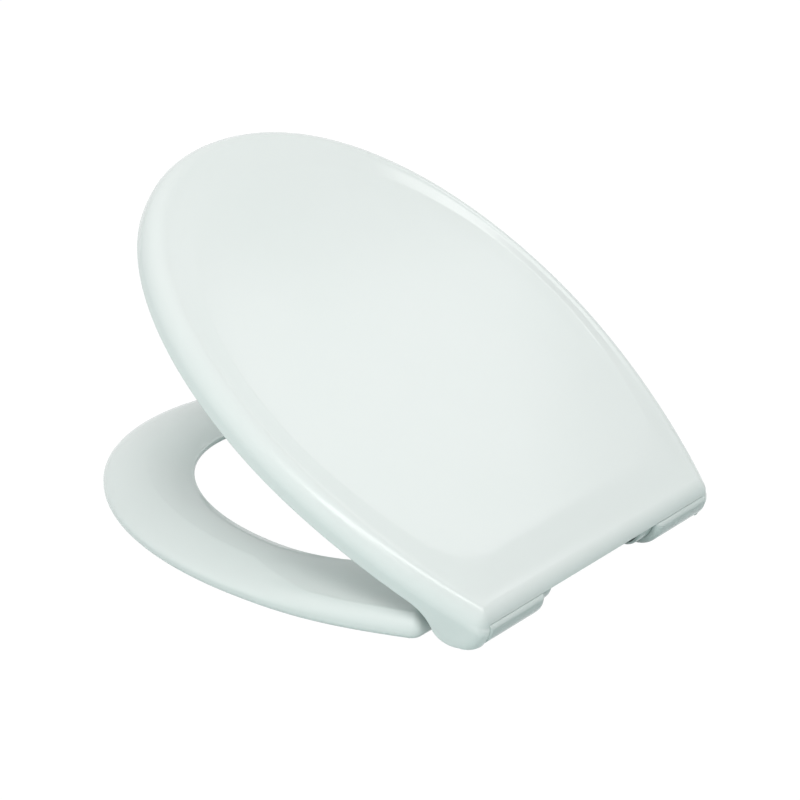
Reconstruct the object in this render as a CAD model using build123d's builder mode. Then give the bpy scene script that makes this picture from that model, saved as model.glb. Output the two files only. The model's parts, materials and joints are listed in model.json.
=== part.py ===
from build123d import *
import os
from math import cos, radians, sin, sqrt

# Toilet seat with a lid that stands half open on a two-point hinge.
# Millimetres, +Z up, front of the seat towards -Y, right-hand side +X.
# The origin lies on the pan, midway between the two fixing holes.

# Fixing to the pan
hole_spacing = 155.0
hole_radius = 3.25
foot_radius = 10.5
foot_thickness = 3.7
pad_thickness = 1.5

# Hinge line: the axis runs along X
axis_set_back = 26.0
axis_height = 25.4
pin_radius = 4.0
run_clearance = 0.05
stack_gap = 0.6
seat_gap = 0.3
least_round = 1.0

# Hinge stack on each side, from the lid's back window inwards
housing_side_gap = 5.0
barrel_length = 57.8
barrel_radius = 22.8
barrel_end_wall = 3.7
barrel_inner_round = 5.0
barrel_outer_round = 3.0
collar_length = 15.4
collar_step = 5.5
collar_round = 2.0
sleeve_radius = 9.0
lug_width = 13.0
lug_radius = 13.0
bush_radius = 7.0
knuckle_width = 11.5
knuckle_radius = 13.0
pin_proud = 1.5

# Goose-neck arm of the bracket, measured from the hinge axis
arm_low = 3.5
arm_high = 12.0
arm_round = 7.0
arm_inner_round = 3.0
leg_thickness = 10.0

# Lid, measured from the hinge axis with the lid shut
lid_open_angle = 32.5
lid_width = 376.0
lid_front = 425.3
lid_widest = 177.0
lid_back = 19.6
lid_tail_set_in = 47.7
lid_rise = 18.2
lid_wall = 4.0
lid_edge_round = 14.5
lid_corner_round = 16.0
skirt_drop = 4.0
ear_radius = 17.2
ear_set_back = 3.9
ear_sweep_round = 33.0
ear_margin = 7.7
window_edge = 9.9
window_round = 3.0
lid_nose_fullness = 0.618
lid_flank_fullness = 0.57
lid_tail_fullness = 0.302
lid_tail_slant = 0.492

# Raised panel on top of the lid, set in from the lid's edge
panel_crown = 1.2
panel_front_margin = 52.0
panel_side_margin = 27.0
panel_back_margin = 48.0
panel_tail_set_in = 18.0
panel_corner_round = 55.0
panel_foot_gap = 0.5

# Screws that hold the hinge housings under the lid
screw_radius = 2.0
screw_head_radius = 3.8
screw_head_height = 2.5
screw_clearance = 0.3
screw_line = 15.5
screw_inset = 12.5
screw_boss_radius = 5.0
screw_boss_height = 6.5
screw_tip_gap = 1.2
head_seat = 5.0

# Seat ring
lid_overhang = 0.3
lid_nose_overhang = 4.6
ring_widest = 176.2
ring_back_gap = 2.7
ring_tail_set_in = 33.3
ring_corner_round = 13.0
ring_bottom = 5.6
ring_crest = 23.7
ring_inner_edge = 14.1
ring_mid_edge = 20.2
ring_shoulder_round = 11.7
ring_base_round = 4.6
ring_inner_round = 1.5
ring_nose_fullness = 0.57
ring_flank_fullness = 0.568
ring_tail_fullness = 0.389
ring_tail_slant = 0.428
crest_inset = 17.0
crest_rear_inset = 24.0
dish_bow = 0.8
ring_lip_bottom = 10.6
ring_wall = 8.0
channel_wall = 14.0
channel_lip = 10.0
channel_top = 13.0
rib_thickness = 3.0
rib_count = 14

# Recess in the ring's back edge, clear of the brackets and lugs
notch_gap = 3.5
notch_side_gap = 2.2
notch_round = 6.0
lug_root_drop = 6.0

# Opening of the ring, set in from the ring's edge
hole_centre = 189.5
ring_side_band = 72.3
ring_front_band = 70.7
ring_rear_band = 42.6
hole_fullness = 0.548

# Rubber buffers
seat_buffer_length = 30.0
seat_buffer_width = 14.0
seat_buffer_round = 2.0
buffer_pad_margin = 3.0
seat_buffer_front_place = 0.62
seat_buffer_rear_place = 0.72
seat_buffer_inset = 36.0
lid_buffer_radius = 6.0
lid_buffer_height = 2.4
lid_buffer_round = 1.0
lid_boss_radius = 7.5
lid_buffer_front_place = 0.62
lid_buffer_rear_place = 0.62
lid_buffer_inset = 14.0

# Half widths and reaches that follow from the lid
lid_half = lid_width / 2
lid_back_half = lid_half - lid_tail_set_in
lid_underside = lid_rise - lid_wall
window_half = lid_back_half - ear_margin
ring_half = lid_half - lid_overhang
ring_front = lid_front - lid_nose_overhang
ring_back = barrel_radius + ring_back_gap
hole_half_width = ring_half - ring_side_band
hole_front = ring_front - hole_centre - ring_front_band
hole_rear = hole_centre - ring_back - ring_rear_band

# Stations along the hinge stack
barrel_end = window_half - housing_side_gap
barrel_start = barrel_end - barrel_length
bore_end = barrel_end - barrel_end_wall
collar_start = barrel_start - collar_length
collar_radius = barrel_radius - collar_step
lug_end = collar_start - stack_gap
lug_start = lug_end - lug_width
knuckle_end = lug_start - stack_gap
knuckle_start = knuckle_end - knuckle_width
notch_half = lug_end + notch_side_gap
notch_reach = axis_set_back + foot_radius + notch_gap
foot_top = pad_thickness + foot_thickness

os.makedirs("parts", exist_ok=True)
sides = {"left": -1, "right": 1}
axis_plane = Plane(origin=(0, axis_set_back, axis_height))
lid_tilt = radians(lid_open_angle)
lid_plane = Plane(
    origin=axis_plane.origin,
    x_dir=(1, 0, 0),
    z_dir=(0, sin(lid_tilt), cos(lid_tilt)),
)
back_plane = Plane(origin=axis_plane.origin, x_dir=(1, 0, 0), z_dir=-lid_plane.y_dir)
floor_plane = Plane(origin=(0, axis_set_back, 0))
hinge_axis = Axis(axis_plane.origin, (1, 0, 0))


def side_plane(base, x):
    """Plane facing +X at station x, with the base plane's Y and Z as its own axes."""
    return Plane(origin=base.from_local_coords((x, 0, 0)), x_dir=base.y_dir, z_dir=base.x_dir)


def low_side(side, start, end):
    """Lower X station of a span that runs from start to end on one side."""
    return start if side > 0 else -end


lid_shape = {
    "half_width": lid_half,
    "front": lid_front,
    "widest": lid_widest,
    "back": lid_back,
    "back_half": lid_back_half,
    "nose": lid_nose_fullness,
    "flank": lid_flank_fullness,
    "tail": lid_tail_fullness,
    "slant": lid_tail_slant,
    "corner": lid_corner_round,
}
panel_shape = {
    **lid_shape,
    "half_width": lid_half - panel_side_margin,
    "front": lid_front - panel_front_margin,
    "back": lid_back - panel_back_margin,
    "back_half": lid_back_half - panel_tail_set_in,
    "corner": panel_corner_round,
}
ring_shape = {
    "half_width": ring_half,
    "front": ring_front,
    "widest": ring_widest,
    "back": -ring_back,
    "back_half": ring_half - ring_tail_set_in,
    "nose": ring_nose_fullness,
    "flank": ring_flank_fullness,
    "tail": ring_tail_fullness,
    "slant": ring_tail_slant,
    "corner": ring_corner_round,
}


def half_curves(shape, inset=0.0):
    """Nose and tail curves of an outline's right half, Y measured from the hinge axis.

    An inset draws every stretch in by the same distance, square to the edge.
    """
    slant = shape["slant"]
    half_width = shape["half_width"] - inset
    front = shape["front"] - inset
    back = shape["back"] - inset
    back_half = shape["back_half"] - inset * (sqrt(1 + slant**2) - slant)
    widest = shape["widest"]
    nose_reach = shape["flank"] * (front - widest)
    tail_reach = shape["tail"] * (widest + back)
    nose_curve = Edge.make_bezier(
        (0, -front),
        (shape["nose"] * half_width, -front),
        (half_width, -widest - nose_reach),
        (half_width, -widest),
    )
    tail_curve = Edge.make_bezier(
        (half_width, -widest),
        (half_width, -widest + tail_reach),
        (back_half + slant * tail_reach, back - tail_reach),
        (back_half, back),
    )
    return nose_curve, tail_curve


def seat_outline(plane, shape, inset=0.0):
    """Closed plan outline of the lid or the ring, drawn inset from the true edge."""
    nose_curve, tail_curve = half_curves(shape, inset)
    with BuildSketch(plane) as outline:
        with BuildLine():
            add(nose_curve)
            add(tail_curve)
            mirror(about=Plane.YZ)
            back_corner = tail_curve @ 1
            Line(back_corner, (-back_corner.X, back_corner.Y))
        make_face()
        corner_round = max(shape["corner"] - inset, least_round)
        fillet(outline.vertices().group_by(Axis.Y)[-1], radius=corner_round)
    return outline.sketch


def oval(plane, half_width, front, rear, fullness):
    """Egg-shaped outline about the plane's origin, longer towards -Y."""
    with BuildSketch(plane) as egg:
        with BuildLine():
            Bezier(
                (0, -front),
                (fullness * half_width, -front),
                (half_width, -fullness * front),
                (half_width, 0),
            )
            Bezier(
                (half_width, 0),
                (half_width, fullness * rear),
                (fullness * half_width, rear),
                (0, rear),
            )
            mirror(about=Plane.YZ)
        make_face()
    return egg.sketch


def rear_notch(plane, margin=0.0):
    """Recess in the ring's back edge, grown all round by a margin."""
    with BuildSketch(plane) as notch:
        with Locations((0, -notch_reach - margin)):
            Rectangle(2 * (notch_half + margin), notch_reach + margin, align=(Align.CENTER, Align.MIN))
        fillet(notch.vertices().group_by(Axis.Y)[0], radius=notch_round + margin)
    return notch.sketch


def inset_point(curve, place, inset):
    """Point inside an outline, square to its right-hand curve at a fraction of the length."""
    edge_point = curve @ place
    along = curve % place
    return (edge_point.X - inset * along.Y, edge_point.Y + inset * along.X)


def finish(builder, label):
    """Label a finished piece and write it to its own file."""
    builder.part.label = label
    export_step(builder.part, f"parts/{label}.step")


ring_nose, ring_tail = half_curves(ring_shape)
lid_buffer_places = {
    "front": inset_point(ring_nose, lid_buffer_front_place, lid_buffer_inset),
    "rear": inset_point(ring_tail, lid_buffer_rear_place, lid_buffer_inset),
}
seat_buffer_places = {
    "front": inset_point(ring_nose, seat_buffer_front_place, seat_buffer_inset),
    "rear": inset_point(ring_tail, seat_buffer_rear_place, seat_buffer_inset),
}
screw_stations = (barrel_start + screw_inset, barrel_end - screw_inset)
screw_places = [(side * x, -screw_line) for side in sides.values() for x in screw_stations]
lid_boss_bottom = ring_crest - axis_height + seat_gap + lid_buffer_height

# Hollow of the lid: the outline drawn in by the wall, rounded under the edge
with BuildPart() as lid_hollow:
    hollow_floor = lid_plane.offset(-2 * ear_radius)
    extrude(
        seat_outline(hollow_floor, lid_shape, lid_wall),
        amount=2 * ear_radius + lid_underside,
    )
    lid_top_edges = lid_hollow.faces().sort_by(Axis(lid_plane.origin, lid_plane.z_dir))[-1].edges()
    fillet(lid_top_edges, radius=lid_edge_round - lid_wall)

# Lid cover: outline and side view crossed, edge rolled, then hollowed from below
with BuildPart() as lid_cover:
    extrude(
        seat_outline(lid_plane.offset(-2 * ear_radius), lid_shape),
        amount=2 * ear_radius + lid_rise,
    )
    with BuildSketch(side_plane(lid_plane, 0)) as lid_side:
        with Locations((lid_back + ear_radius, -skirt_drop)):
            Rectangle(
                lid_front + lid_back + 2 * ear_radius,
                lid_rise + skirt_drop,
                align=(Align.MAX, Align.MIN),
            )
        with Locations((ear_set_back, 0)):
            Circle(ear_radius)
        ear_root = lid_side.vertices().sort_by_distance((ear_set_back - ear_radius, -skirt_drop))[0]
        fillet(ear_root, radius=ear_sweep_round)
    extrude(amount=lid_width, both=True, mode=Mode.INTERSECT)
    top_edges = lid_cover.faces().sort_by(Axis(lid_plane.origin, lid_plane.z_dir))[-1].edges()
    fillet(top_edges, radius=lid_edge_round)
    loft(
        sections=[
            seat_outline(lid_plane.offset(lid_rise), lid_shape, lid_edge_round + panel_foot_gap),
            seat_outline(lid_plane.offset(lid_rise + panel_crown), panel_shape),
        ],
        ruled=True,
    )
    add(lid_hollow.part, mode=Mode.SUBTRACT)
    with BuildSketch(back_plane) as back_window:
        with Locations((0, window_edge)):
            Rectangle(2 * window_half, 3 * ear_radius, align=(Align.CENTER, Align.MAX))
        fillet(back_window.vertices().group_by(Axis.Y)[-1], radius=window_round)
    extrude(amount=-3 * ear_radius, mode=Mode.SUBTRACT)
    with BuildSketch(lid_plane.offset(lid_boss_bottom)) as buffer_bosses:
        for x, y in lid_buffer_places.values():
            with Locations((x, y), (-x, y)):
                Circle(lid_boss_radius)
    extrude(amount=lid_underside - lid_boss_bottom)
    with BuildSketch(lid_plane.offset(lid_underside)) as screw_bosses:
        with Locations(*screw_places):
            Circle(screw_boss_radius)
    extrude(amount=-screw_boss_height)
    with BuildSketch(lid_plane.offset(lid_underside - screw_boss_height)) as screw_bores:
        with Locations(*screw_places):
            Circle(screw_radius)
    extrude(amount=screw_boss_height - screw_tip_gap, mode=Mode.SUBTRACT)
finish(lid_cover, "lid_cover")

# Seat ring: shouldered slab, dished towards its opening, channelled and ribbed below
ring_centre = Plane(origin=(0, axis_set_back - hole_centre, 0))
dish_half_width = ring_half - crest_inset
dish_front = ring_front - hole_centre - crest_inset
dish_rear = hole_centre - ring_back - crest_rear_inset
rise_share = (ring_mid_edge - ring_inner_edge) / (ring_crest - ring_inner_edge)


def dish_section(height, share):
    """Outline of the dish at a height, a share of the way out from the opening to the crest."""
    return oval(
        ring_centre.offset(height),
        hole_half_width + share * (dish_half_width - hole_half_width),
        hole_front + share * (dish_front - hole_front),
        hole_rear + share * (dish_rear - hole_rear),
        hole_fullness,
    )


with BuildPart() as seat_ring:
    extrude(
        seat_outline(floor_plane.offset(ring_bottom), ring_shape),
        amount=ring_crest - ring_bottom,
    )
    fillet(seat_ring.faces().sort_by(Axis.Z)[-1].edges(), radius=ring_shoulder_round)
    fillet(seat_ring.faces().sort_by(Axis.Z)[0].edges(), radius=ring_base_round)
    loft(
        sections=[
            dish_section(ring_inner_edge, 0.0),
            dish_section(ring_mid_edge, dish_bow * rise_share),
            dish_section(ring_crest, 1.0),
        ],
        mode=Mode.SUBTRACT,
    )
    extrude(dish_section(0, 0.0), amount=ring_crest, mode=Mode.SUBTRACT)
    inner_edge = seat_ring.edges().filter_by_position(
        Axis.Z, ring_inner_edge - run_clearance, ring_inner_edge + run_clearance
    )
    fillet(inner_edge, radius=ring_inner_round)
    with BuildSketch(Plane.XY.offset(ring_bottom)) as recess:
        add(seat_outline(floor_plane, ring_shape, ring_wall))
        add(rear_notch(floor_plane, ring_wall), mode=Mode.SUBTRACT)
    extrude(amount=ring_lip_bottom - ring_bottom, mode=Mode.SUBTRACT)
    with BuildSketch(Plane.XY.offset(ring_lip_bottom)) as channel:
        add(seat_outline(floor_plane, ring_shape, channel_wall))
        add(rear_notch(floor_plane, channel_wall), mode=Mode.SUBTRACT)
        add(
            oval(
                ring_centre,
                hole_half_width + channel_lip,
                hole_front + channel_lip,
                hole_rear + channel_lip,
                hole_fullness,
            ),
            mode=Mode.SUBTRACT,
        )
        with Locations((0, axis_set_back - hole_centre)):
            with PolarLocations(0, rib_count, start_angle=180 / rib_count):
                Rectangle(
                    ring_front, rib_thickness, align=(Align.MIN, Align.CENTER), mode=Mode.SUBTRACT
                )
        for x, y in seat_buffer_places.values():
            with Locations((x, axis_set_back + y), (-x, axis_set_back + y)):
                Circle(seat_buffer_length / 2 + buffer_pad_margin, mode=Mode.SUBTRACT)
    extrude(amount=channel_top - ring_lip_bottom, mode=Mode.SUBTRACT)
    extrude(rear_notch(floor_plane), amount=ring_crest, mode=Mode.SUBTRACT)
    for side in sides.values():
        with BuildSketch(side_plane(axis_plane, low_side(side, lug_start, lug_end))) as lug:
            Circle(lug_radius)
            with BuildLine():
                Polyline(
                    (0, lug_radius),
                    (-notch_reach - ring_base_round, ring_crest - lug_root_drop - axis_height),
                    (-notch_reach - ring_base_round, ring_lip_bottom - axis_height),
                    (0, -lug_radius),
                    close=True,
                )
            make_face()
        extrude(amount=lug_width)
        with BuildSketch(side_plane(axis_plane, low_side(side, lug_start, lug_end))) as lug_bore:
            Circle(bush_radius)
        extrude(amount=lug_width, mode=Mode.SUBTRACT)
finish(seat_ring, "seat_ring")

for name, side in sides.items():
    # Bracket: foot plate on the pan, goose-neck arm over the seat's sweep, knuckle on the axis
    with BuildPart() as bracket:
        with BuildSketch(side_plane(axis_plane, low_side(side, knuckle_start, knuckle_end))) as arm:
            leg_front = -axis_set_back - foot_radius
            leg_back = leg_front + leg_thickness
            with BuildLine():
                Polyline(
                    (0, arm_low),
                    (leg_back, arm_low),
                    (leg_back, pad_thickness - axis_height),
                    (leg_front, pad_thickness - axis_height),
                    (leg_front, arm_high),
                    (0, arm_high),
                    close=True,
                )
            make_face()
            fillet(arm.vertices().sort_by_distance((leg_front, arm_high))[0], radius=arm_round)
            fillet(arm.vertices().sort_by_distance((leg_back, arm_low))[0], radius=arm_inner_round)
            Circle(knuckle_radius)
        extrude(amount=knuckle_width)
        knuckle_middle = side * (knuckle_start + knuckle_end) / 2
        with BuildSketch(Plane.XY.offset(pad_thickness)) as foot:
            with Locations(((side * hole_spacing / 2 + knuckle_middle) / 2, 0)):
                SlotCenterToCenter(abs(side * hole_spacing / 2 - knuckle_middle), 2 * foot_radius)
        extrude(amount=foot_thickness)
        with Locations((side * hole_spacing / 2, 0, foot_top)):
            Hole(hole_radius)
        with BuildSketch(side_plane(axis_plane, -lid_width)) as pin_bore:
            Circle(pin_radius)
        extrude(amount=2 * lid_width, mode=Mode.SUBTRACT)
    finish(bracket, f"hinge_bracket_{name}")

    # Foot pad: gasket of the foot's own outline
    with BuildPart() as foot_pad:
        with BuildSketch(Plane.XY) as pad_outline:
            with Locations(((side * hole_spacing / 2 + knuckle_middle) / 2, 0)):
                SlotCenterToCenter(abs(side * hole_spacing / 2 - knuckle_middle), 2 * foot_radius)
            with Locations((side * hole_spacing / 2, 0)):
                Circle(hole_radius, mode=Mode.SUBTRACT)
        extrude(amount=pad_thickness)
    finish(foot_pad, f"foot_pad_{name}")

    # Hinge pin: runs from the knuckle through the lug into the housing
    with BuildPart() as pin:
        pin_start = knuckle_start - pin_proud
        pin_end = bore_end - stack_gap
        with BuildSketch(side_plane(axis_plane, low_side(side, pin_start, pin_end))) as pin_section:
            Circle(pin_radius)
        extrude(amount=pin_end - pin_start)
        chamfer(pin.edges().filter_by(GeomType.CIRCLE), length=pin_proud / 3)
    finish(pin, f"hinge_pin_{name}")

    # Bush: lines the seat's lug and turns on the pin
    with BuildPart() as bush:
        with BuildSketch(side_plane(axis_plane, low_side(side, lug_start, lug_end))) as bush_section:
            Circle(bush_radius)
            Circle(pin_radius + run_clearance, mode=Mode.SUBTRACT)
        extrude(amount=lug_width)
    finish(bush, f"seat_bush_{name}")

    # Friction sleeve: fills the housing's bore and grips the pin
    with BuildPart() as sleeve:
        with BuildSketch(side_plane(axis_plane, low_side(side, collar_start, bore_end))) as sleeve_section:
            Circle(sleeve_radius)
            Circle(pin_radius + run_clearance, mode=Mode.SUBTRACT)
        extrude(amount=bore_end - collar_start)
    finish(sleeve, f"friction_sleeve_{name}")

    # Hinge housing: stepped barrel about the axis, trimmed to the inside of the lid
    with BuildPart() as housing:
        with BuildSketch(Plane(axis_plane.origin, x_dir=(side, 0, 0), z_dir=(0, -side, 0))) as barrel:
            with BuildLine():
                Polyline(
                    (collar_start, 0),
                    (collar_start, collar_radius),
                    (barrel_start, collar_radius),
                    (barrel_start, barrel_radius),
                    (barrel_end, barrel_radius),
                    (barrel_end, 0),
                    close=True,
                )
            make_face()
            inner_rim = barrel.vertices().sort_by_distance((barrel_start, barrel_radius))[0]
            fillet(inner_rim, radius=barrel_inner_round)
            outer_rim = barrel.vertices().sort_by_distance((barrel_end, barrel_radius))[0]
            fillet(outer_rim, radius=barrel_outer_round)
            collar_rim = barrel.vertices().sort_by_distance((collar_start, collar_radius))[0]
            fillet(collar_rim, radius=collar_round)
        revolve(axis=hinge_axis)
        trim_round = lid_edge_round - lid_wall + seat_gap
        trim_back = lid_back - lid_wall - seat_gap
        trim_low = window_edge - seat_gap
        with BuildSketch(side_plane(lid_plane, 0)) as trim:
            with Locations((trim_back, lid_underside)):
                Rectangle(trim_round, lid_underside - trim_low, align=(Align.MAX, Align.MAX))
            with Locations((trim_back - trim_round, lid_underside - trim_round)):
                Circle(trim_round, mode=Mode.SUBTRACT)
            with Locations((trim_back, trim_low)):
                Rectangle(2 * barrel_radius, 2 * barrel_radius, align=(Align.MIN, Align.MIN))
            with Locations((-2 * barrel_radius, lid_underside)):
                Rectangle(4 * barrel_radius, 2 * barrel_radius, align=(Align.MIN, Align.MIN))
        extrude(amount=lid_width, both=True, mode=Mode.SUBTRACT)
        with BuildSketch(side_plane(axis_plane, low_side(side, collar_start, bore_end))) as bore:
            Circle(sleeve_radius)
        extrude(amount=bore_end - collar_start, mode=Mode.SUBTRACT)
        with BuildSketch(lid_plane.offset(lid_underside)) as boss_pockets:
            with Locations(*[(side * x, -screw_line) for x in screw_stations]):
                Circle(screw_boss_radius + screw_clearance)
        extrude(amount=-screw_boss_height - screw_clearance, mode=Mode.SUBTRACT)
        with BuildSketch(lid_plane.offset(-head_seat)) as shank_holes:
            with Locations(*[(side * x, -screw_line) for x in screw_stations]):
                Circle(screw_radius + screw_clearance)
        extrude(amount=head_seat + lid_underside, mode=Mode.SUBTRACT)
        with BuildSketch(lid_plane.offset(-head_seat)) as head_holes:
            with Locations(*[(side * x, -screw_line) for x in screw_stations]):
                Circle(screw_head_radius + screw_clearance)
        extrude(amount=-barrel_radius, mode=Mode.SUBTRACT)
    finish(housing, f"hinge_housing_{name}")

    # Housing screws: pan-headed, driven up into the lid's bosses
    with BuildPart() as screws:
        with BuildSketch(lid_plane.offset(-head_seat)) as shanks:
            with Locations(*[(side * x, -screw_line) for x in screw_stations]):
                Circle(screw_radius)
        extrude(amount=head_seat + lid_underside - screw_tip_gap)
        with BuildSketch(lid_plane.offset(-head_seat)) as heads:
            with Locations(*[(side * x, -screw_line) for x in screw_stations]):
                Circle(screw_head_radius)
        extrude(amount=-screw_head_height)
    finish(screws, f"housing_screws_{name}")

    for end, (x, y) in lid_buffer_places.items():
        # Lid buffer: button under a boss of the lid, just clear of the ring's crest when shut
        with BuildPart() as lid_buffer:
            with BuildSketch(lid_plane.offset(lid_boss_bottom)) as button:
                with Locations((side * x, y)):
                    Circle(lid_buffer_radius)
            extrude(amount=-lid_buffer_height)
            button_rim = lid_buffer.faces().sort_by(Axis(lid_plane.origin, lid_plane.z_dir))[0].edges()
            fillet(button_rim, radius=lid_buffer_round)
        finish(lid_buffer, f"lid_buffer_{end}_{name}")

    for end, (x, y) in seat_buffer_places.items():
        # Seat buffer: oblong foot under the ring, standing on the pan
        with BuildPart() as seat_buffer:
            with BuildSketch(Plane.XY) as oblong:
                with Locations((side * x, axis_set_back + y)):
                    SlotOverall(seat_buffer_length, seat_buffer_width)
            extrude(amount=ring_lip_bottom)
            fillet(seat_buffer.faces().sort_by(Axis.Z)[0].edges(), radius=seat_buffer_round)
        finish(seat_buffer, f"seat_buffer_{end}_{name}")
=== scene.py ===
import bpy
import json
import numpy as np
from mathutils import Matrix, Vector


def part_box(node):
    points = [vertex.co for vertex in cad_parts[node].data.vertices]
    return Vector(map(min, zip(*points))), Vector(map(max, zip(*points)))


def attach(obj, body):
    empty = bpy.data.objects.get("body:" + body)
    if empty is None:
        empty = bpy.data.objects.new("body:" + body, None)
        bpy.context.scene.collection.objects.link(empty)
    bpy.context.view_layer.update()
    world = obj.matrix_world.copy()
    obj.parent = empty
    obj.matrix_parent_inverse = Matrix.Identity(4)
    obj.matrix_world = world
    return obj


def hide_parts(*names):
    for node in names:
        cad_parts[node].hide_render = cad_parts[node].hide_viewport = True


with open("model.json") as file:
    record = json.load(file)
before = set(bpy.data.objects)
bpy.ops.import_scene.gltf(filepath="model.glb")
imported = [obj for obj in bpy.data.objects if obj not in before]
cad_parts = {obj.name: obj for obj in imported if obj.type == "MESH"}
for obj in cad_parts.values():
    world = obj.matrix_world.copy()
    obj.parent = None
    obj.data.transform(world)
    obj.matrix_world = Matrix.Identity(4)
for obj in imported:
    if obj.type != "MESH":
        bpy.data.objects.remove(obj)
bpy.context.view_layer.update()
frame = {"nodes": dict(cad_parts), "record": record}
print("frame loaded:", len(frame["nodes"]), "nodes")

mm = 0.001
quarter = np.pi / 2
insetStep = 0.5  # between the loops that outlines are drawn at
hinge = np.array(frame["record"]["behaviour"]["joints"][0]["pos_m"]) / mm  # a point of the hinge line


def hexToLinear(hexColour):
    # each sRGB channel c becomes c / 12.92 when dark, else ((c + 0.055) / 1.055) ^ 2.4
    srgb = np.array([int(hexColour[i:i + 2], 16) for i in (1, 3, 5)]) / 255
    linear = np.where(srgb <= 0.04045, srgb / 12.92, ((srgb + 0.055) / 1.055) ** 2.4)
    return (*linear.tolist(), 1.0)


def addNode(tree, kind, settings=None, links=None):
    # settings go on sockets by name when the node has them, else on the node itself
    node = tree.nodes.new(kind)
    for name, value in (settings or {}).items():
        if name in node.inputs:
            node.inputs[name].default_value = value
        else:
            setattr(node, name, value)
    for name, source in (links or {}).items():
        tree.links.new(source, node.inputs[name])
    return node


def newMaterial(name):
    material = bpy.data.materials.new(name)
    material.use_nodes = True
    tree = material.node_tree
    tree.nodes.clear()
    return material, tree


def perMetre(size):
    # a pattern's scale for features of a size in millimetres
    return 1 / (size * mm)


# camera at the photo's viewing angle
cameraLook = {
    "place": (1.39265, 1.00289, 0.88508),
    "target": (-0.02387, -0.16096, 0.08324),
    "lens": 117.74,
    "sensor": 36.0,
}


def makeCamera(look):
    # stands at its place and looks along the line to its target
    data = bpy.data.cameras.new("camera")
    data.lens = look["lens"]
    data.sensor_width = look["sensor"]
    camera = bpy.data.objects.new("camera", data)
    bpy.context.scene.collection.objects.link(camera)
    place = Vector(look["place"])
    camera.location = place
    camera.rotation_mode = "QUATERNION"
    camera.rotation_quaternion = (Vector(look["target"]) - place).to_track_quat("-Z", "Y")
    bpy.context.scene.camera = camera


makeCamera(cameraLook)
print("camera placed")


# surfaces

def bezier(controls, t):
    # cubic blend of four points: (1-t)^3, 3(1-t)^2 t, 3(1-t) t^2 and t^3 are the weights
    t = np.asarray(t)[:, None]
    a, b, c, d = np.array(controls, float)
    return (1 - t) ** 3 * a + 3 * (1 - t) ** 2 * t * b + 3 * (1 - t) * t ** 2 * c + t ** 3 * d


def bezierSlope(controls, t):
    # derivative of the cubic blend, made a unit direction
    t = np.asarray(t)[:, None]
    a, b, c, d = np.array(controls, float)
    slope = (1 - t) ** 2 * (b - a) + 2 * (1 - t) * t * (c - b) + t ** 2 * (d - c)
    return slope / np.linalg.norm(slope, axis=1, keepdims=True)


def arc(centre, radius, start, end, share):
    # points at angles that run evenly from start to end about a centre
    angle = start + (end - start) * share
    return np.array(centre) + radius * np.stack([np.cos(angle), np.sin(angle)], -1)


def line(start, end, share):
    # points at shares of a straight run
    return np.array(start) + (np.array(end, float) - np.array(start)) * share[:, None]


def pickSegment(stations, segments):
    # station k + s lies a share s along segment k
    index = np.minimum(stations.astype(int), len(segments) - 1)
    return np.stack(segments)[index, np.arange(len(stations))]


def halfOutline(shape, inset, stations):
    # right half of a seat outline: nose curve, tail curve, corner arc, then the back edge.
    # An inset draws each stretch in square to the edge; the corner arc touches the tail where
    # the tail's inner normal, one radius long, ends one radius inside the back edge.
    slant = shape["slant"]
    halfWidth = shape["halfWidth"] - inset
    front = shape["front"] - inset
    back = shape["back"] - inset
    backHalf = shape["backHalf"] - inset * (np.hypot(1, slant) - slant)
    corner = max(shape["corner"] - inset, shape["leastCorner"])
    widest = shape["widest"]
    noseReach = shape["flank"] * (front - widest)
    tailReach = shape["tail"] * (widest + back)
    nose = [(0, -front), (shape["nose"] * halfWidth, -front),
            (halfWidth, -widest - noseReach), (halfWidth, -widest)]
    tail = [(halfWidth, -widest), (halfWidth, -widest + tailReach),
            (backHalf + slant * tailReach, back - tailReach), (backHalf, back)]
    trial = np.linspace(0.3, 1, 600)  # shares of the tail, past its start, at which the touch is sought
    along = bezierSlope(tail, trial)
    tailEnd = np.interp(0, bezier(tail, trial)[:, 1] + corner * along[:, 0] - back + corner, trial)
    touch = bezier(tail, [tailEnd])[0]
    inward = bezierSlope(tail, [tailEnd])[0][::-1] * (-1, 1)
    centre = touch + corner * inward
    share = stations % 1
    share[stations == shape["segments"]] = 1
    turn = np.arctan2(-inward[1], -inward[0])
    segments = [
        bezier(nose, share),
        bezier(tail, share * tailEnd),
        arc(centre, corner, turn, quarter, share),
    ]
    if "notchHalf" not in shape:
        return pickSegment(stations, segments + [line((centre[0], back), (0, back), share)])
    # a ring's back edge steps in at a notch: back edge, outer arc, side, inner arc, notch floor
    notchHalf = shape["notchHalf"] + inset
    notchFloor = -shape["notchReach"] - inset
    outer = max(shape["notchEdge"] - inset, shape["leastCorner"])
    inner = min(shape["notchRound"] + inset, back - notchFloor - outer - shape["leastCorner"])
    segments += [
        line((centre[0], back), (notchHalf + outer, back), share),
        arc((notchHalf + outer, back - outer), outer, quarter, 2 * quarter, share),
        line((notchHalf, back - outer), (notchHalf, notchFloor + inner), share),
        arc((notchHalf - inner, notchFloor + inner), inner, 0, -quarter, share),
        line((notchHalf - inner, notchFloor), (0, notchFloor), share),
    ]
    return pickSegment(stations, segments)


def mirrorLoop(half):
    # right half from front to back, then the left half from back to front
    left = half[::-1][1:-1] * (-1, 1)
    return np.vstack([half, left])


def mirrorValues(half):
    # the same for one value to a station
    return np.concatenate([half, half[::-1][1:-1]])


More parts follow.
